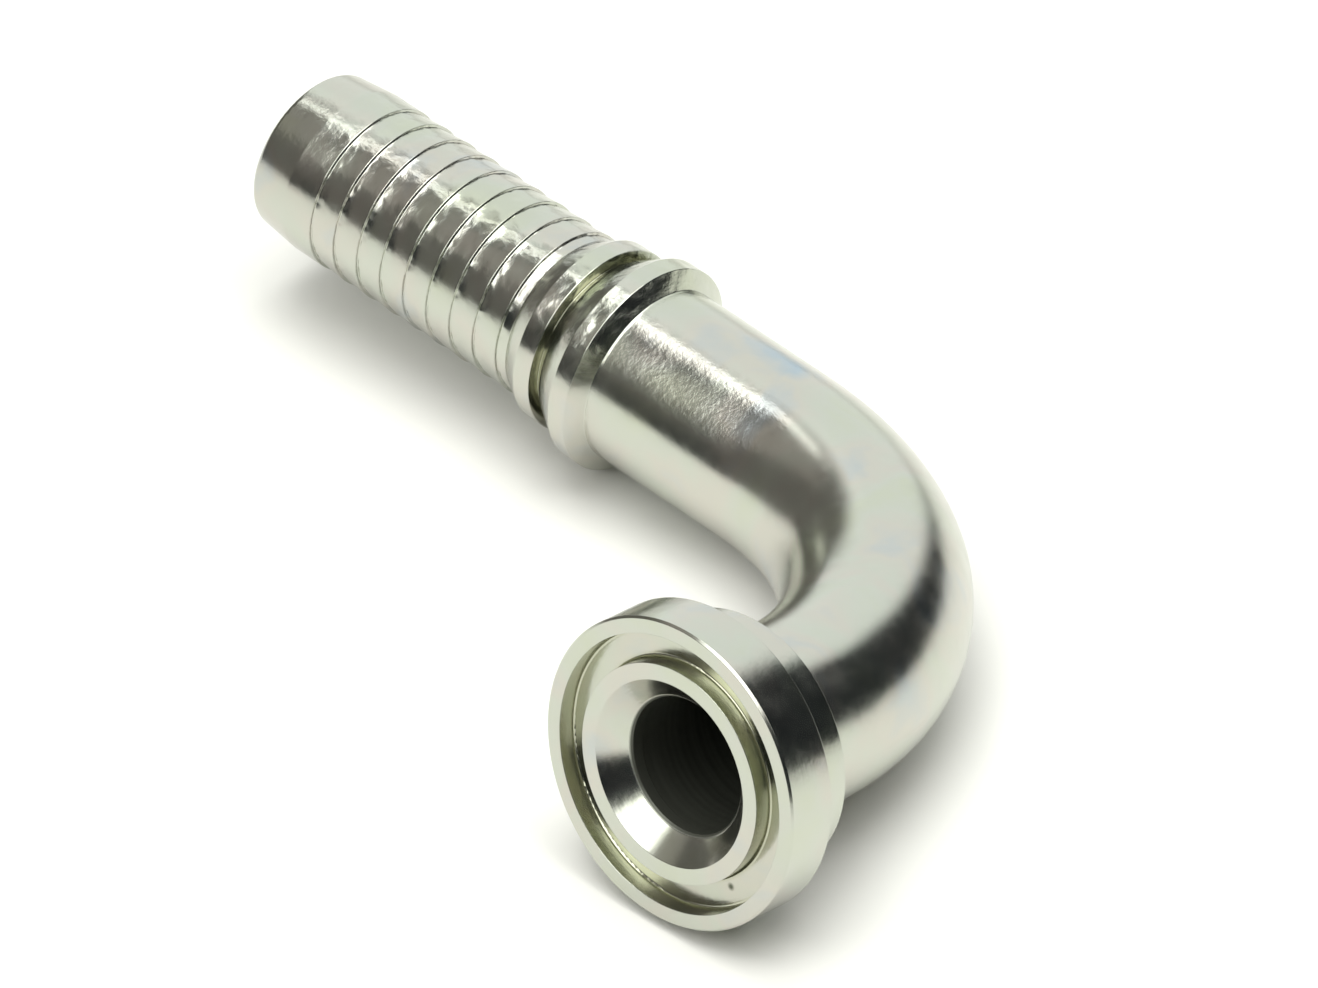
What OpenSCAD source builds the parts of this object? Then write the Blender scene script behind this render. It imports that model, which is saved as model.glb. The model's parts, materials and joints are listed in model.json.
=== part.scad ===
/*
Crimp hose fitting: a barbed hose tail, a tube bent through a right angle and a round flange head.
Before it is laid down, the tail runs along +X and the flange head faces +Y. The two centre lines
cross at the corner, in the plane of the bend. The finished part lies as it comes to rest on a flat
floor, on its rim, its collar and the outside of its bend. Its origin is the centre of the sealing face.
*/

/* [Flange head] */
// Diameter of the rim
rim_d = 44.45; // [42:0.05:50]
// Thickness of the rim that the clamp halves grip
rim_t = 8; // [6:0.1:10]
// Length of the hub behind the rim
hub_len = 6.8; // [4:0.1:10]
// Diameter of the hub
hub_d = 37; // [33:0.1:40]
// Break on the outer edges of the rim and the hub
edge_break = 0.3; // [0.1:0.05:0.6]
// Distance from the corner to the sealing face
face_reach = 67.4; // [64:0.1:90]

/* [Seal groove] */
// Outer diameter of the seal groove
groove_outer_d = 39.7; // [38:0.05:41]
// Inner diameter of the seal groove
groove_inner_d = 31.4; // [30:0.05:33]
// Depth of the seal groove
groove_depth = 2.8; // [1.5:0.05:3.4]
// Radius in the corners of the groove floor
groove_root = 0.4; // [0.2:0.05:0.8]

/* [Mouth] */
// Diameter of the countersink at the sealing face
mouth_d = 26.7; // [24:0.1:29]
// Depth of the countersink
mouth_depth = 3.6; // [2:0.1:5]
// Bore of the lip at the bottom of the countersink
lip_bore_d = 19.5; // [16:0.1:21]
// Length of the lip, which stops the end of the tube
lip_len = 1.8; // [1:0.1:3]
// Radial gap between the tube and its socket, which the braze fills
braze_gap = 0.05; // [0.02:0.01:0.15]

/* [Tube] */
// Outer diameter of the tube
tube_d = 26.5; // [24.5:0.1:28]
// Bore from the nose to the flange head
bore_d = 20; // [15:0.1:21]
// Radius of the bend at the centre of the tube
bend_r = 43.3; // [34:0.1:46]

/* [Collar] */
// Diameter of the collar
collar_d = 31.5; // [30:0.1:36]
// Distance from the corner to the front edge of the collar
collar_reach = 68.5; // [64:0.1:90]
// Length of the cone from the tube up to the collar
collar_rise = 1.6; // [0.8:0.1:4]
// Length of the straight land of the collar
collar_land = 2.9; // [1:0.1:6]
// Length of the taper behind the land
collar_fall = 4.2; // [2:0.1:6]
// Diameter at the back edge of the collar
collar_back_d = 26.4; // [25.4:0.1:28]

/* [Lock groove] */
// Width of the groove that the ferrule is crimped into
lock_w = 1.2; // [0.8:0.1:4]
// Diameter at the floor of the lock groove
lock_d = 24.4; // [23:0.1:25]

/* [Ring] */
// Diameter of the ring behind the lock groove
ring_d = 28.2; // [27:0.1:30]
// Length of the straight land of the ring
ring_land = 2.9; // [1:0.1:5]
// Length of the taper from the ring down to the neck
ring_fall = 3.2; // [2:0.1:5]
// Length of the neck between the ring and the first barb
neck_len = 1.7; // [0.5:0.1:4]

/* [Barbs] */
// Number of barbs
barb_count = 9; // [5:1:12]
// Distance from one barb to the next
barb_pitch = 4.49; // [3.5:0.01:6]
// Diameter at the crest of a barb
barb_d = 25.4; // [25:0.1:27]
// Height of the step behind each crest
barb_h = 0.35; // [0.2:0.05:0.6]
// Length of the steep face of a barb
barb_face = 0.12; // [0.05:0.01:0.3]

/* [Nose] */
// Length of the smooth nose beyond the last crest
nose_len = 12.1; // [8:0.1:20]
// Length of the nose that keeps the diameter of the last crest
nose_land = 5.2; // [0:0.1:7]
// Diameter to which the rest of the nose tapers
nose_d = 24.1; // [23:0.1:25]
// Radius on the end of the nose
nose_round = 1; // [0.4:0.1:1.4]
// Chamfer at the mouth of the bore in the nose
nose_chamfer = 0.5; // [0.2:0.1:1]

/* [Hidden] */
$fn = 64;
small_round_fn = 24;

rim_r = rim_d / 2;
hub_r = hub_d / 2;
tube_r = tube_d / 2;
bore_r = bore_d / 2;
collar_r = collar_d / 2;
barb_r = barb_d / 2;
root_r = barb_r - barb_h;
nose_r = nose_d / 2;

// Stations along the tail, measured from the corner
collar_back = collar_reach + collar_land + collar_fall;
ring_front = collar_back + lock_w;
ring_back = ring_front + ring_land;
first_barb = ring_back + ring_fall + neck_len;
last_barb = first_barb + (barb_count - 1) * barb_pitch;
tail_end = last_barb + nose_len;

// The end of the tube is seated on the lip
seat_reach = face_reach - mouth_depth - lip_len;
head_len = rim_t + hub_len;
slack = 1;

/*
The unit normal of the floor, seen from the part. Its first two terms are found by repeating one step:
the height of the bend's lowest point sets the lean that brings the rim and the collar down to it.
*/
function bend_drop(n) = tube_r - bend_r * (n.x + n.y - norm(n));
function lean_step(n) = [
    (collar_r * sqrt(1 - n.x ^ 2) - bend_drop(n)) / collar_reach,
    (rim_r * sqrt(1 - n.y ^ 2) - bend_drop(n)) / (face_reach - rim_t + edge_break)
];
function lean(n, steps) = steps == 0 ? n : lean(lean_step(n), steps - 1);
first_lean = [0.1, 0.2];
lean_steps = 40;
floor_n = lean(first_lean, lean_steps);
floor_z = sqrt(1 - floor_n.x ^ 2 - floor_n.y ^ 2);
roll = atan2(floor_n.y, floor_z);
pitch = -atan2(floor_n.x, norm([floor_n.y, floor_z]));

// The cone of the collar starts under the surface of the tube, so that the two cross cleanly
cone_bite = 1;
cone_foot_r = tube_r - cone_bite;
cone_foot = collar_reach - collar_rise - cone_bite * collar_rise / (collar_r - tube_r);

function barb_points(x) = [[root_r, x - barb_face], [barb_r, x]];

// Outline of the turned tail as radius and station, from the foot of the collar to the rounded end
tail_outline = concat(
    [
        [0, cone_foot],
        [cone_foot_r, cone_foot],
        [collar_r, collar_reach],
        [collar_r, collar_reach + collar_land],
        [collar_back_d / 2, collar_back],
        [lock_d / 2, collar_back],
        [lock_d / 2, ring_front],
        [ring_d / 2, ring_front],
        [ring_d / 2, ring_back],
        [root_r, ring_back + ring_fall]
    ],
    [for (i = [0 : barb_count - 1]) each barb_points(first_barb + i * barb_pitch)],
    [
        [barb_r, last_barb + nose_land],
        [nose_r, tail_end - nose_round],
        [nose_r - nose_round, tail_end],
        [bore_r + nose_chamfer, tail_end],
        [0, tail_end - nose_chamfer - bore_r]
    ]
);

module turned_tail() {
    rotate([0, 90, 0])
        rotate_extrude() {
            polygon(tail_outline);
            translate([nose_r - nose_round, tail_end - nose_round]) circle(r = nose_round, $fn = small_round_fn);
        }
}

// A round bar along the centre line: a straight leg, the bend and a straight run of the tail.
// All three are swept from one circle, so their end faces match.
module bar(r, leg_end, run_end) {
    translate([bend_r, bend_r, 0])
        rotate([0, 0, 180]) {
            rotate([90, 0, 0]) linear_extrude(leg_end - bend_r) bar_section(r);
            rotate_extrude(angle = 90) bar_section(r);
            translate([bend_r - run_end, 0, 0])
                rotate([90, 0, 90])
                    linear_extrude(run_end - bend_r)
                        bar_section(r);
        }
}

module bar_section(r) {
    translate([bend_r, 0]) circle(r = r);
}

module laid_down() {
    rotate([roll, pitch, 0])
        translate([0, -face_reach, 0])
            children();
}

module hose_stem() {
    color([0.76, 0.77, 0.75])
        laid_down()
            difference() {
                union() {
                    turned_tail();
                    bar(tube_r, seat_reach, collar_reach);
                }
                bar(bore_r, seat_reach + slack, tail_end + slack);
            }
}

module groove_section() {
    width = (groove_outer_d - groove_inner_d) / 2;
    translate([groove_inner_d / 2, -groove_depth]) {
        translate([0, groove_root]) square([width, groove_depth + slack]);
        translate([groove_root, 0]) square([width - 2 * groove_root, groove_root + slack]);
        translate([groove_root, groove_root]) circle(r = groove_root, $fn = small_round_fn);
        translate([width - groove_root, groove_root]) circle(r = groove_root, $fn = small_round_fn);
    }
}

// Half section of the flange head, with the sealing face on the X axis and its back below
module head_section() {
    difference() {
        polygon([
            [mouth_d / 2, 0],
            [rim_r - edge_break, 0],
            [rim_r, -edge_break],
            [rim_r, -rim_t + edge_break],
            [rim_r - edge_break, -rim_t],
            [hub_r, -rim_t],
            [hub_r, -head_len + edge_break],
            [hub_r - edge_break, -head_len],
            [tube_r + braze_gap, -head_len],
            [tube_r + braze_gap, -mouth_depth - lip_len],
            [lip_bore_d / 2, -mouth_depth - lip_len],
            [lip_bore_d / 2, -mouth_depth]
        ]);
        groove_section();
    }
}

module flange_head() {
    color([0.80, 0.80, 0.76])
        laid_down()
            translate([0, face_reach, 0])
                rotate([-90, 0, 0])
                    rotate_extrude()
                        head_section();
}

hose_stem();
flange_head();
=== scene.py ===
"""Looks of the crimp hose fitting: zinc-plated steel, a pale floor, studio light and the camera.

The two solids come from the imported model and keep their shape. Places are in metres, in their frame,
and the patterns of the finish are in millimetres, along the part's own axes.
"""

import json
import math

import bpy
import numpy as np
from bpy.props import FloatProperty, FloatVectorProperty, PointerProperty
from bpy.types import Operator, Panel, PropertyGroup
from mathutils import Matrix, Vector


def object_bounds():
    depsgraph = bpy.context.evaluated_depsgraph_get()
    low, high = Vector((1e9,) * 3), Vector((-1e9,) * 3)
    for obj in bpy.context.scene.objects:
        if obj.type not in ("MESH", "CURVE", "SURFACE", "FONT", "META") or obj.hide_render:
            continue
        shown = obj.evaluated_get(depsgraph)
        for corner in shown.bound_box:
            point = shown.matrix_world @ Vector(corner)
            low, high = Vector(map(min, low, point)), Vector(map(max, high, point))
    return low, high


bl_info = {
    "name": "Crimp Hose Fitting",
    "version": (1, 0, 0),
    "blender": (4, 5, 0),
    "location": "View3D > Sidebar > Hose Fitting",
    "description": "Gives the fitting its zinc-plated finish and sets up its floor, light and camera",
    "category": "Object",
}

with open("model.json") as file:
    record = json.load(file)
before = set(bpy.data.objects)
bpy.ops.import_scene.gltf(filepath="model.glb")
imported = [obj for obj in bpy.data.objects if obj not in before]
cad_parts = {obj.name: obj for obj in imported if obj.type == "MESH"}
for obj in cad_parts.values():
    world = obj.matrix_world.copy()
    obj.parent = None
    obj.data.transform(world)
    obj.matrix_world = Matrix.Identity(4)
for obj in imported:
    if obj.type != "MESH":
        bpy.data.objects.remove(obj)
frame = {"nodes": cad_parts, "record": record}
CAD_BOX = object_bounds()

MM = 0.001

# How the part lies: its tail and its leg point along these two axes, and its corner, where the two
# centre lines cross, is behind the sealing face, which is at the origin.
MOUNTS = {mount["name"]: mount for mount in frame["record"]["mounts"]}
TAIL = Vector(MOUNTS["hose_tail"]["axis"]).normalized()
LEG = Vector(MOUNTS["head_rim"]["axis"]).normalized()
LAY = Matrix((TAIL, LEG, TAIL.cross(LEG))).transposed()
CORNER = LEG * LEG.dot(Vector(MOUNTS["hose_tail"]["pos_m"]))

# Sizes of the part in millimetres that its patterns follow, with stations measured from the corner
BEND_R = 43.3
BORE_R = 10.0
RUN_START = 37.0
COLLAR_FRONT = 67.0
LOCK_MIDDLE, LOCK_HALF, LOCK_R = 76.2, 0.8, 12.2
FIRST_BARB, LAST_BARB, BARB_PITCH = 84.6, 120.5, 4.49
FOOT_WIDTH = 2.1
# The top of the tube and the tail begins between these heights above the plane of the bend
TOP_LOW, TOP_HIGH = 5.0, 8.5
FACE_Y = 67.4
LIP_R = 9.75
SEAL_MIDDLE, SEAL_HALF, SEAL_DEPTH = 17.8, 2.15, 2.8
NICK, NICK_R = (-11.7, 64.6, -12.5), 0.7
BLUE_PATCH, BLUE_PATCH_R = (47.5, -3.2, 12.8), 4.5

# Scales of the patterns, in cells to a millimetre
FILM_SCALE = 0.08
GLOSS_SCALE = 0.3
WAVE_SCALE = 0.1
PEEL_SCALE = 0.48
FOOT_SCALE = 0.5
GRAIN_SCALE = 1.1
STEM_FEED_SCALE = 2.5
HEAD_FEED_SCALE = 2.2
HEAD_PEEL_SCALE = 0.5
RING_SCALE = 0.5

# Depths of the fine relief in millimetres
WAVE_DEPTH = 0.12
STEM_FEED_DEPTH = 0.004
HEAD_FEED_DEPTH = 0.006
HEAD_PEEL_DEPTH = 0.02

# Share of the dimples' depth on the sides and underneath, and on the nose, which fades over four millimetres
SIDE_SHARE, NOSE_SHARE, NOSE_FADE = 0.25, 0.3, 4.0

# Where the four colours of film follow one another, and how far the blue patch moves them on
FILM_STEPS = (0.3, 0.46, 0.58, 1.0)
BLUE_SHIFT = 0.45
# The range that noise seldom leaves, and the roughness that the glossier and the duller patches add
NOISE_LOW, NOISE_HIGH = 0.3, 0.7
GLOSSIER, DULLER = -0.03, 0.04
# How much of the bore's surface shines like metal
BORE_METAL = 0.6
BEVEL_SAMPLES = 8


def linear(code):
    """The linear RGB of an sRGB hex colour."""
    parts = [int(code.lstrip("#")[i : i + 2], 16) / 255 for i in (0, 2, 4)]
    return tuple(c / 12.92 if c <= 0.04045 else ((c + 0.055) / 1.055) ** 2.4 for c in parts)


def add_node(tree, kind, inputs=None, **settings):
    """Adds one node with its settings. An input that is a socket is linked, and any other is set."""
    node = tree.nodes.new(kind)
    for name, value in settings.items():
        setattr(node, name, value)
    for key, value in (inputs or {}).items():
        if isinstance(value, bpy.types.NodeSocket):
            tree.links.new(value, node.inputs[key])
        else:
            node.inputs[key].default_value = value
    return node


def part_axes(tree):
    """The point in millimetres from the corner, and its X along the tail, its Y along the leg and its Z."""
    place = add_node(tree, "ShaderNodeTexCoord")
    lay = {"Location": CORNER, "Rotation": LAY.to_euler(), "Scale": (MM, MM, MM)}
    turned = add_node(
        tree, "ShaderNodeMapping", {"Vector": place.outputs["Object"], **lay}, vector_type="TEXTURE"
    )
    axes = add_node(tree, "ShaderNodeSeparateXYZ", {"Vector": turned.outputs[0]})
    return turned.outputs[0], axes.outputs["X"], axes.outputs["Y"], axes.outputs["Z"]


def length_of(tree, x, y):
    """The length of the two together, such as a distance from an axis."""
    pair = add_node(tree, "ShaderNodeCombineXYZ", {"X": x, "Y": y})
    return add_node(tree, "ShaderNodeVectorMath", {0: pair.outputs[0]}, operation="LENGTH").outputs["Value"]


def zinc_steel(name):
    """A material with an empty Principled shader for plated steel, and its node tree."""
    material = bpy.data.materials.new(name)
    material.use_nodes = True
    tree = material.node_tree
    tree.nodes.clear()
    shader = add_node(tree, "ShaderNodeBsdfPrincipled")
    add_node(tree, "ShaderNodeOutputMaterial", {"Surface": shader.outputs["BSDF"]})
    return material, tree, shader


def plate(tree, shader, look, point, outside, groove, stain, blue, roughness, edge, bumps):
    """Colour, gloss and relief of the plating.

    Outside, groove, stain and blue are masks: films of colour show on the outside, bluer where blue rises
    to one, a thicker film lies in the groove, a stain is darker still, and the bore is dull steel. Each bump
    is a height and its depth in millimetres.
    """
    # Films of the passivation: patches of green, plain, pink and blue grey, some 12 mm wide, edges frayed
    film = add_node(
        tree, "ShaderNodeTexNoise", {"Vector": point, "Scale": FILM_SCALE, "Detail": 5.0, "Distortion": 0.5}
    ).outputs["Fac"]
    film = add_node(
        tree, "ShaderNodeMath", {0: blue, 1: BLUE_SHIFT, 2: film}, operation="MULTIPLY_ADD"
    ).outputs[0]
    tones = add_node(tree, "ShaderNodeValToRGB", {"Fac": film})
    elements = tones.color_ramp.elements
    while len(elements) < len(FILM_STEPS):
        elements.new(FILM_STEPS[len(elements) - 1])
    for element, place, tone in zip(elements, FILM_STEPS, (look.green, look.plain, look.pink, look.blue)):
        element.position = place
        element.color = (*tone, 1)
    # Sockets 6, 7 and 2 of a colour mix are its two colours and its result
    filmed = add_node(
        tree,
        "ShaderNodeMix",
        {0: groove, 6: tones.outputs["Color"], 7: (*look.groove_film, 1)},
        data_type="RGBA",
    ).outputs[2]
    marked = add_node(
        tree, "ShaderNodeMix", {0: stain, 6: filmed, 7: (*look.stain, 1)}, data_type="RGBA"
    ).outputs[2]
    colour = add_node(
        tree, "ShaderNodeMix", {0: outside, 6: (*look.bore, 1), 7: marked}, data_type="RGBA"
    ).outputs[2]
    tree.links.new(colour, shader.inputs["Base Color"])

    # Plated steel is all metal. The bore is partly dull oxide, which scatters a little of the light.
    metal = add_node(
        tree, "ShaderNodeMapRange", {"Value": outside, "To Min": BORE_METAL, "To Max": 1.0}
    ).outputs[0]
    tree.links.new(metal, shader.inputs["Metallic"])

    # Duller and glossier patches of a few millimetres
    patches = add_node(
        tree, "ShaderNodeTexNoise", {"Vector": point, "Scale": GLOSS_SCALE, "Detail": 4.0, "Roughness": 0.65}
    ).outputs["Fac"]
    span = {"From Min": NOISE_LOW, "From Max": NOISE_HIGH, "To Min": GLOSSIER, "To Max": DULLER}
    spread = add_node(tree, "ShaderNodeMapRange", {"Value": patches, **span}).outputs[0]
    rough = add_node(tree, "ShaderNodeMath", {0: roughness, 1: spread}, operation="ADD").outputs[0]
    rough = add_node(
        tree, "ShaderNodeMapRange", {"Value": outside, "To Min": look.bore_roughness, "To Max": rough}
    ).outputs[0]
    tree.links.new(rough, shader.inputs["Roughness"])

    # The turned edges are broken a little, so that each one catches a thin line of light
    normal = add_node(tree, "ShaderNodeBevel", {"Radius": edge * MM}, samples=BEVEL_SAMPLES).outputs[0]
    for height, depth in bumps:
        normal = add_node(
            tree, "ShaderNodeBump", {"Height": height, "Distance": depth * MM, "Normal": normal}
        ).outputs[0]
    tree.links.new(normal, shader.inputs["Normal"])


def bore_rings(tree, along, outside):
    """Height of the marks that drilling leaves in the bore, in rings along it, and none on the outside."""
    inside = add_node(tree, "ShaderNodeMath", {0: 1.0, 1: outside}, operation="SUBTRACT").outputs[0]
    rings = add_node(
        tree, "ShaderNodeTexNoise", {"W": along, "Scale": RING_SCALE, "Detail": 1.0}, noise_dimensions="1D"
    ).outputs["Fac"]
    return add_node(tree, "ShaderNodeMath", {0: rings, 1: inside}, operation="MULTIPLY").outputs[0]


def zinc_on_drawn_tube_and_turned_tail(look):
    """Zinc-plated steel: a drawn and bent tube, and a turned tail.

    Clear-passivated zinc is a bright, slightly green grey metal with faint films of green, pink and blue.
    The tube is satin. The tail is glossier, with soft dimples and hollows that break up its highlights.
    """
    material, tree, shader = zinc_steel("zinc_plated_steel_drawn_and_turned")
    point, x, y, z = part_axes(tree)

    # Distance from the centre line. The bend's centre is at X and Y of one bend radius. How far the point is
    # short of it along each, never less than zero, has that same radius as its length all along the line.
    short = []
    for along in (x, y):
        behind = add_node(tree, "ShaderNodeMath", {0: BEND_R, 1: along}, operation="SUBTRACT").outputs[0]
        short.append(add_node(tree, "ShaderNodeMath", {0: behind, 1: 0.0}, operation="MAXIMUM").outputs[0])
    arm = length_of(tree, *short)
    off = add_node(tree, "ShaderNodeMath", {0: arm, 1: BEND_R}, operation="SUBTRACT").outputs[0]
    radius = length_of(tree, off, z)

    outside = add_node(
        tree, "ShaderNodeMapRange", {"Value": radius, "From Min": BORE_R + 0.2, "From Max": BORE_R + 0.8}
    ).outputs[0]
    turned = add_node(
        tree,
        "ShaderNodeMapRange",
        {"Value": x, "From Min": COLLAR_FRONT - 0.5, "From Max": COLLAR_FRONT + 0.5},
    ).outputs[0]
    # The film lies low in the lock groove
    lock = add_node(
        tree, "ShaderNodeMath", {0: x, 1: LOCK_MIDDLE, 2: LOCK_HALF}, operation="COMPARE"
    ).outputs[0]
    deep = add_node(
        tree,
        "ShaderNodeMapRange",
        {"Value": radius, "From Min": LOCK_R + 0.2, "From Max": LOCK_R + 1.6, "To Min": 1.0, "To Max": 0.0},
    ).outputs[0]
    groove = add_node(tree, "ShaderNodeMath", {0: lock, 1: deep}, operation="MULTIPLY").outputs[0]

    # Soft dimples of two millimetres on the tail, deeper along its top and shallower on the nose
    top = add_node(
        tree,
        "ShaderNodeMapRange",
        {"Value": z, "From Min": TOP_LOW, "From Max": TOP_HIGH, "To Min": SIDE_SHARE, "To Max": 1.0},
    ).outputs[0]
    fade = {"From Min": LAST_BARB, "From Max": LAST_BARB + NOSE_FADE, "To Min": 1.0, "To Max": NOSE_SHARE}
    nose = add_node(tree, "ShaderNodeMapRange", {"Value": x, **fade}).outputs[0]
    peel = add_node(
        tree, "ShaderNodeTexNoise", {"Vector": point, "Scale": PEEL_SCALE, "Detail": 0.6}
    ).outputs["Fac"]
    for part in (turned, top, nose):
        peel = add_node(tree, "ShaderNodeMath", {0: peel, 1: part}, operation="MULTIPLY").outputs[0]
    # Each barb runs out into the foot of the next step in a small hollow, uneven along the foot. The place
    # along the tail, wrapped to one pitch, rises to one at the step, and its square is the hollow's curve.
    step = FIRST_BARB + BARB_PITCH
    wrapped = add_node(tree, "ShaderNodeMath", {0: x, 1: step, 2: FIRST_BARB}, operation="WRAP").outputs[0]
    rise = add_node(
        tree, "ShaderNodeMapRange", {"Value": wrapped, "From Min": step - FOOT_WIDTH, "From Max": step}
    ).outputs[0]
    uneven = add_node(
        tree, "ShaderNodeTexNoise", {"Vector": point, "Scale": FOOT_SCALE, "Detail": 0.8}
    ).outputs["Fac"]
    middle, half = (FIRST_BARB + LAST_BARB) / 2, (LAST_BARB - FIRST_BARB) / 2
    barbs = add_node(
        tree, "ShaderNodeMath", {0: x, 1: middle, 2: half + FOOT_WIDTH}, operation="COMPARE"
    ).outputs[0]
    foot = rise
    for part in (rise, uneven, barbs):
        foot = add_node(tree, "ShaderNodeMath", {0: foot, 1: part}, operation="MULTIPLY").outputs[0]
    # Finer grain along the top of the tube's straight run, which ends where the bend starts
    straight = add_node(
        tree, "ShaderNodeMapRange", {"Value": x, "From Min": RUN_START - 1.5, "From Max": RUN_START + 1.5}
    ).outputs[0]
    grain = add_node(
        tree, "ShaderNodeTexNoise", {"Vector": point, "Scale": GRAIN_SCALE, "Detail": 4.0, "Roughness": 0.6}
    ).outputs["Fac"]
    for part in (straight, top):
        grain = add_node(tree, "ShaderNodeMath", {0: grain, 1: part}, operation="MULTIPLY").outputs[0]
    # Slow waves of a centimetre that the drawing and bending leave
    waves = add_node(
        tree, "ShaderNodeTexNoise", {"Vector": point, "Scale": WAVE_SCALE, "Detail": 1.0}
    ).outputs["Fac"]
    # Feed marks of the lathe: the real ones are some 0.15 mm apart, and these 0.4 mm, so that they show
    feed = add_node(
        tree, "ShaderNodeTexNoise", {"W": x, "Scale": STEM_FEED_SCALE, "Detail": 2.0}, noise_dimensions="1D"
    ).outputs["Fac"]
    feed = add_node(tree, "ShaderNodeMath", {0: feed, 1: turned}, operation="MULTIPLY").outputs[0]
    # Rings along the bore, of a millimetre and more
    along = add_node(tree, "ShaderNodeMath", {0: x, 1: y}, operation="MAXIMUM").outputs[0]
    rings = bore_rings(tree, along, outside)

    # One bluer patch on top of the straight run, twice as long as it is wide
    away = add_node(tree, "ShaderNodeVectorMath", {0: point, 1: BLUE_PATCH}, operation="SUBTRACT").outputs[0]
    oval = add_node(
        tree, "ShaderNodeVectorMath", {0: away, 1: (0.5, 1.0, 1.0)}, operation="MULTIPLY"
    ).outputs[0]
    reach = add_node(tree, "ShaderNodeVectorMath", {0: oval}, operation="LENGTH").outputs["Value"]
    blue = add_node(
        tree, "ShaderNodeMapRange", {"Value": reach, "From Max": BLUE_PATCH_R, "To Min": 1.0, "To Max": 0.0}
    ).outputs[0]
    roughness = add_node(
        tree,
        "ShaderNodeMapRange",
        {"Value": straight, "To Min": look.tube_roughness, "To Max": look.tail_roughness},
    ).outputs[0]
    relief = (
        (waves, WAVE_DEPTH),
        (peel, look.peel_depth),
        (foot, look.foot_depth),
        (grain, look.grain_depth),
        (feed, STEM_FEED_DEPTH),
        (rings, look.ring_depth),
    )
    plate(tree, shader, look, point, outside, groove, 0.0, blue, roughness, look.stem_edge, relief)
    return material


def zinc_on_turned_head(look):
    """Zinc-plated steel, turned all over.

    The rim, the hub and the faces are smooth and glossy, with fine rings of the lathe about the centre
    line, and the film in the seal groove is thicker and greener.
    """
    material, tree, shader = zinc_steel("zinc_plated_steel_turned")
    point, x, y, z = part_axes(tree)
    radius = length_of(tree, x, z)
    outside = add_node(
        tree, "ShaderNodeMapRange", {"Value": radius, "From Min": LIP_R + 0.2, "From Max": LIP_R + 0.45}
    ).outputs[0]
    # The film is thicker and greener on the walls of the seal groove than on its floor. It starts a little
    # below the face, and the hub, which has the same radii further back, has none.
    across = add_node(tree, "ShaderNodeMath", {0: radius, 1: SEAL_MIDDLE}, operation="SUBTRACT").outputs[0]
    across = add_node(tree, "ShaderNodeMath", {0: across}, operation="ABSOLUTE").outputs[0]
    between = add_node(tree, "ShaderNodeMath", {0: across, 1: SEAL_HALF}, operation="LESS_THAN").outputs[0]
    wall = add_node(
        tree,
        "ShaderNodeMapRange",
        {"Value": across, "From Min": SEAL_HALF - 0.8, "From Max": SEAL_HALF - 0.2, "To Min": 0.2},
    ).outputs[0]
    level = add_node(
        tree, "ShaderNodeMath", {0: y, 1: FACE_Y - SEAL_DEPTH, 2: SEAL_DEPTH - 0.3}, operation="COMPARE"
    ).outputs[0]
    groove = between
    for part in (level, wall):
        groove = add_node(tree, "ShaderNodeMath", {0: groove, 1: part}, operation="MULTIPLY").outputs[0]
    # One small dark mark on the floor of the seal groove
    reach = add_node(tree, "ShaderNodeVectorMath", {0: point, 1: NICK}, operation="DISTANCE").outputs["Value"]
    stain = add_node(
        tree,
        "ShaderNodeMapRange",
        {"Value": reach, "From Min": 0.3 * NICK_R, "From Max": NICK_R, "To Min": 1.0, "To Max": 0.0},
    ).outputs[0]

    # Feed marks in rings: the real ones are some 0.15 mm apart, and these 0.45 mm, so that they show
    turn = add_node(tree, "ShaderNodeCombineXYZ", {"X": radius, "Y": y}).outputs[0]
    feed = add_node(
        tree, "ShaderNodeTexNoise", {"Vector": turn, "Scale": HEAD_FEED_SCALE, "Detail": 3.0}
    ).outputs["Fac"]
    # Soft dimples of two millimetres, as on the tail but shallower
    peel = add_node(
        tree, "ShaderNodeTexNoise", {"Vector": point, "Scale": HEAD_PEEL_SCALE, "Detail": 2.0}
    ).outputs["Fac"]
    rings = bore_rings(tree, y, outside)
    relief = ((peel, HEAD_PEEL_DEPTH), (feed, HEAD_FEED_DEPTH), (rings, look.ring_depth))
    plate(tree, shader, look, point, outside, groove, stain, 0.0, look.head_roughness, look.head_edge, relief)
    return material


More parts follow.
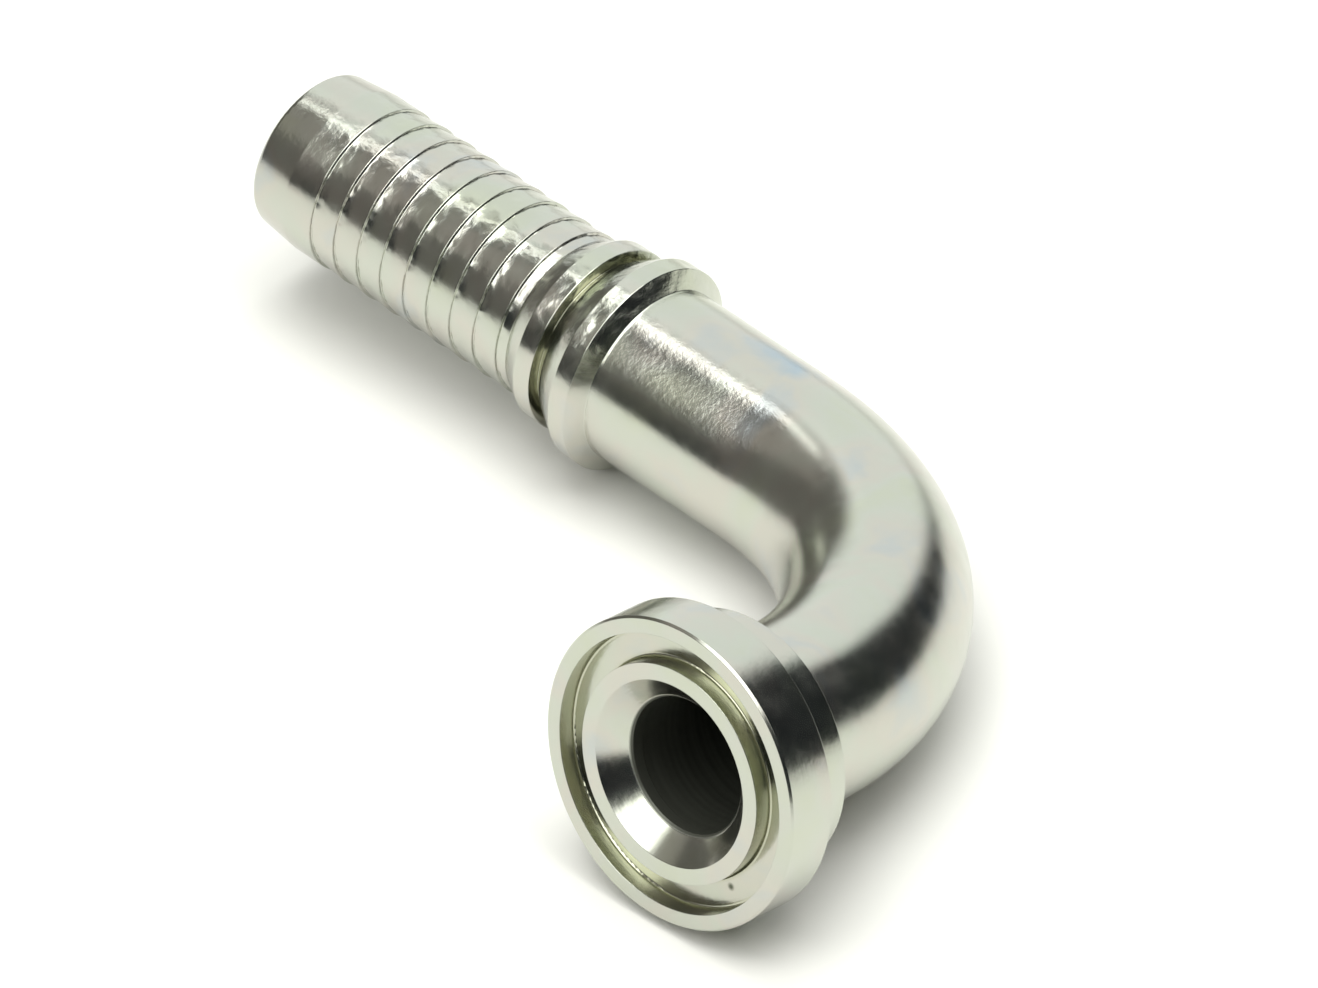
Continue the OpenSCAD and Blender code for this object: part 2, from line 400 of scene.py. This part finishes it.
class FittingLook(PropertyGroup):
    """Colours and finish of the two steel pieces."""

    green: FloatVectorProperty(
        name="Green film",
        description="Plating where its film is yellow green",
        subtype="COLOR",
        default=linear("#BFC3B3"),
    )
    plain: FloatVectorProperty(
        name="Plain film",
        description="Plating where its film has no colour of its own",
        subtype="COLOR",
        default=linear("#C0C3B9"),
    )
    pink: FloatVectorProperty(
        name="Pink film",
        description="Plating where its film is faintly pink",
        subtype="COLOR",
        default=linear("#C3C1B8"),
    )
    blue: FloatVectorProperty(
        name="Blue film",
        description="Plating where its film is faintly blue",
        subtype="COLOR",
        default=linear("#9FB4C4"),
    )
    groove_film: FloatVectorProperty(
        name="Groove film",
        description="Thicker film in the grooves",
        subtype="COLOR",
        default=linear("#B4B5A1"),
    )
    stain: FloatVectorProperty(
        name="Stain",
        description="Small dark mark in the seal groove",
        subtype="COLOR",
        default=linear("#5E6154"),
    )
    bore: FloatVectorProperty(
        name="Bore",
        description="Dull steel inside the bore",
        subtype="COLOR",
        default=linear("#565850"),
    )
    tube_roughness: FloatProperty(
        name="Tube roughness",
        description="Roughness of the satin tube",
        default=0.22, min=0.0, max=1.0,
    )
    tail_roughness: FloatProperty(
        name="Tail roughness",
        description="Roughness of the turned tail",
        default=0.18, min=0.0, max=1.0,
    )
    head_roughness: FloatProperty(
        name="Head roughness",
        description="Roughness of the turned head",
        default=0.18, min=0.0, max=1.0,
    )
    bore_roughness: FloatProperty(
        name="Bore roughness",
        description="Roughness inside the bore",
        default=0.4, min=0.0, max=1.0,
    )
    peel_depth: FloatProperty(
        name="Peel depth",
        description="Depth of the tail's orange peel in millimetres",
        default=0.16, min=0.0, max=0.5,
    )
    foot_depth: FloatProperty(
        name="Foot depth",
        description="Depth of the hollow at the foot of each barb in millimetres",
        default=0.3, min=0.0, max=0.5,
    )
    grain_depth: FloatProperty(
        name="Grain depth",
        description="Depth of the grain on the tube's straight run in millimetres",
        default=0.04, min=0.0, max=0.5,
    )
    ring_depth: FloatProperty(
        name="Ring depth",
        description="Depth of the rings in the bore in millimetres",
        default=0.15, min=0.0, max=0.5,
    )
    stem_edge: FloatProperty(
        name="Stem edge",
        description="Break on the stem's edges in millimetres",
        default=0.22, min=0.0, max=0.5,
    )
    head_edge: FloatProperty(
        name="Head edge",
        description="Break on the head's edges in millimetres",
        default=0.15, min=0.0, max=0.5,
    )


class FittingStage(PropertyGroup):
    """Floor, light and camera."""

    floor_colour: FloatVectorProperty(
        name="Floor colour",
        description="Colour of the plain floor",
        subtype="COLOR",
        default=linear("#E6E6E2"),
    )
    # Painted shade: the floor's tone far from the part is darker, standing in for lamps that light it less
    # there
    floor_painted_falloff: FloatVectorProperty(
        name="Floor edge",
        description="Colour of the floor far from the part",
        subtype="COLOR",
        default=linear("#B4B4B1"),
    )
    floor_size: FloatProperty(
        name="Floor size",
        description="Width and length of the floor",
        default=6.0, min=1.0, unit="LENGTH",
    )
    brightness: FloatProperty(
        name="Brightness",
        description="Strength of all the studio's light together",
        default=1.0, min=0.0,
    )
    lens: FloatProperty(
        name="Lens",
        description="Focal length on a sensor 36 mm wide",
        default=491.65, min=50.0, unit="CAMERA",
    )
    camera_place: FloatVectorProperty(
        name="Camera place",
        description="Where it stands, along the tail, along the leg and square to both, from the face",
        unit="LENGTH",
        default=(-1.18279, 1.576746, 1.352716),
    )


class OBJECT_OT_fitting_stem(Operator):
    """Give the hose stem its zinc-plated finish"""

    bl_idname = "object.fitting_stem"
    bl_label = "Finish Hose Stem"

    def execute(self, context):
        steel = zinc_on_drawn_tube_and_turned_tail(context.scene.fitting_look)
        frame["nodes"]["hose_stem"].material_slots[0].material = steel
        return {"FINISHED"}


class OBJECT_OT_fitting_head(Operator):
    """Give the flange head its zinc-plated finish"""

    bl_idname = "object.fitting_head"
    bl_label = "Finish Flange Head"

    def execute(self, context):
        steel = zinc_on_turned_head(context.scene.fitting_look)
        frame["nodes"]["flange_head"].material_slots[0].material = steel
        return {"FINISHED"}


# Light of the studio: far panels, each with its azimuth from +X towards +Y, its elevation and its roll in
# degrees, its half width, half height and soft edge as tangents, its brightness and its colour. The room
# between them is nearly black.
PANELS = (
    ("overhead", 315, 90, 0, 0.34, 0.34, 0.10, 4.7, "#FFFFFC"),
    ("right", 205, 60, 0, 0.40, 0.30, 0.10, 2.6, "#FFFFFC"),
    ("strip", 345, 60, 0, 0.06, 0.26, 0.04, 2.2, "#FFFFFC"),
    ("back", 303, 30, 16, 0.48, 0.95, 0.12, 1.16, "#FCFFFC"),
    ("front", 90, 54, 0, 0.40, 0.46, 0.08, 2.9, "#FFFFFC"),
    ("left wall", 15, 22, 0, 0.95, 0.80, 0.20, 0.15, "#FFF6EA"),
    ("left shelf", 25, 46, 0, 0.45, 0.18, 0.08, 0.2, "#FFF8F0"),
)
ROOM = (0.016, 0.019, 0.021)

# The board's tone is even up to the first of these distances in metres and is painted darker up to the
# second, as painted shade of lamps that light it less further out
BOARD_LIT, BOARD_DIM = 0.12, 0.6
BOARD_ROUGHNESS, BOARD_SHINE = 0.9, 0.1

# The camera's right and its back, along the tail, along the leg and square to both
CAMERA_RIGHT = (-0.717634, -0.677494, 0.161257)
CAMERA_BACK = (-0.502722, 0.664197, 0.553274)
SENSOR_WIDTH = 36


class OBJECT_OT_fitting_stage(Operator):
    """Set up the floor, the studio light and the camera"""

    bl_idname = "object.fitting_stage"
    bl_label = "Set Up Stage"

    def execute(self, context):
        stage = context.scene.fitting_stage
        self.lay_floor(context.scene, stage)
        self.light_studio(context.scene, stage)
        self.place_camera(context.scene, stage)
        context.scene.view_settings.view_transform = "Standard"
        return {"FINISHED"}

    def lay_floor(self, scene, stage):
        """A flat square at the height of the part's lowest point."""
        corners = stage.floor_size / 2 * np.array([[-1, -1], [1, -1], [1, 1], [-1, 1]])
        mesh = bpy.data.meshes.new("floor")
        mesh.from_pydata(np.column_stack([corners, np.full(4, CAD_BOX[0][2])]), [], [(0, 1, 2, 3)])
        floor = bpy.data.objects.new("floor", mesh)
        scene.collection.objects.link(floor)
        material = bpy.data.materials.new("white_board")
        material.use_nodes = True
        tree = material.node_tree
        shader = tree.nodes["Principled BSDF"]
        shader.inputs["Roughness"].default_value = BOARD_ROUGHNESS
        shader.inputs["Specular IOR Level"].default_value = BOARD_SHINE
        # Real lamps are near and light the board less further out. Here the light is even, and that falling
        # light is painted into the tone as painted shade.
        place = add_node(tree, "ShaderNodeTexCoord").outputs["Object"]
        distance = add_node(tree, "ShaderNodeVectorMath", {0: place}, operation="LENGTH").outputs["Value"]
        fall = add_node(
            tree, "ShaderNodeMapRange", {"Value": distance, "From Min": BOARD_LIT, "From Max": BOARD_DIM}
        ).outputs[0]
        tone = add_node(
            tree,
            "ShaderNodeMix",
            {0: fall, 6: (*stage.floor_colour, 1), 7: (*stage.floor_painted_falloff, 1)},
            data_type="RGBA",
        ).outputs[2]
        tree.links.new(tone, shader.inputs["Base Color"])
        mesh.materials.append(material)

    def light_studio(self, scene, stage):
        """A dim room with bright panels in it, as the world's light."""
        world = bpy.data.worlds.new("studio")
        scene.world = world
        world.use_nodes = True
        tree = world.node_tree
        tree.nodes.clear()
        way = add_node(tree, "ShaderNodeTexCoord").outputs["Generated"]
        light = ROOM
        for _name, azimuth, elevation, roll, half_width, half_height, edge, brightness, colour in PANELS:
            mask = self.panel_mask(tree, way, (roll, elevation, azimuth), (half_width, half_height), edge)
            glow = [brightness * c for c in linear(colour)]
            light = add_node(
                tree, "ShaderNodeVectorMath", {0: mask, 1: glow, 2: light}, operation="MULTIPLY_ADD"
            ).outputs[0]
        background = add_node(tree, "ShaderNodeBackground", {"Color": light, "Strength": stage.brightness})
        add_node(tree, "ShaderNodeOutputWorld", {"Surface": background.outputs[0]})

    def panel_mask(self, tree, way, angles, halves, edge):
        """One inside the panel and zero outside it.

        The direction is turned so that the panel's middle is ahead, and its side and height are divided by
        how far it goes ahead. Each of the two then fades out across the panel's edge.
        """
        roll, elevation, azimuth = (math.radians(angle) for angle in angles)
        turn = Matrix.Rotation(elevation, 3, "Y") @ Matrix.Rotation(-azimuth, 3, "Z")
        turn = Matrix.Rotation(-roll, 3, "X") @ turn
        ahead, side, height = (
            add_node(tree, "ShaderNodeVectorMath", {0: way, 1: row}, operation="DOT_PRODUCT").outputs["Value"]
            for row in turn
        )
        ahead = add_node(tree, "ShaderNodeMath", {0: ahead, 1: 0.001}, operation="MAXIMUM").outputs[0]
        masks = []
        for distance, half in zip((side, height), halves):
            ratio = add_node(tree, "ShaderNodeMath", {0: distance, 1: ahead}, operation="DIVIDE").outputs[0]
            size = add_node(tree, "ShaderNodeMath", {0: ratio}, operation="ABSOLUTE").outputs[0]
            span = {"From Min": half - edge, "From Max": half + edge, "To Min": 1.0, "To Max": 0.0}
            fade = add_node(
                tree, "ShaderNodeMapRange", {"Value": size, **span}, interpolation_type="SMOOTHSTEP"
            ).outputs[0]
            masks.append(fade)
        return add_node(tree, "ShaderNodeMath", {0: masks[0], 1: masks[1]}, operation="MULTIPLY").outputs[0]

    def place_camera(self, scene, stage):
        """A camera whose right and back are given in the part's own axes, as its place is."""
        camera = bpy.data.cameras.new("camera")
        camera.sensor_fit = "HORIZONTAL"
        camera.sensor_width = SENSOR_WIDTH
        camera.lens = stage.lens
        holder = bpy.data.objects.new("camera", camera)
        scene.collection.objects.link(holder)
        right, back = Vector(CAMERA_RIGHT), Vector(CAMERA_BACK)
        turn = LAY @ Matrix((right, back.cross(right), back)).transposed()
        holder.matrix_world = Matrix.Translation(LAY @ Vector(stage.camera_place)) @ turn.to_4x4()
        scene.camera = holder


class VIEW3D_PT_fitting(Panel):
    """Lists the fitting's pieces and stage"""

    bl_label = "Crimp Hose Fitting"
    bl_space_type = "VIEW_3D"
    bl_region_type = "UI"
    bl_category = "Hose Fitting"

    def draw(self, context):
        for name in OPERATORS:
            self.layout.operator(name)
        for group in (context.scene.fitting_look, context.scene.fitting_stage):
            for name in group.__annotations__:
                self.layout.prop(group, name)


CLASSES = (
    FittingLook,
    FittingStage,
    OBJECT_OT_fitting_stem,
    OBJECT_OT_fitting_head,
    OBJECT_OT_fitting_stage,
    VIEW3D_PT_fitting,
)
OPERATORS = ("object.fitting_stem", "object.fitting_head", "object.fitting_stage")


def register():
    for item in CLASSES:
        bpy.utils.register_class(item)
    bpy.types.Scene.fitting_look = PointerProperty(type=FittingLook)
    bpy.types.Scene.fitting_stage = PointerProperty(type=FittingStage)


def unregister():
    del bpy.types.Scene.fitting_look
    del bpy.types.Scene.fitting_stage
    for item in reversed(CLASSES):
        bpy.utils.unregister_class(item)


def main():
    register()
    bpy.ops.object.fitting_stem()
    bpy.ops.object.fitting_head()
    bpy.ops.object.fitting_stage()


if __name__ == "__main__":
    main()
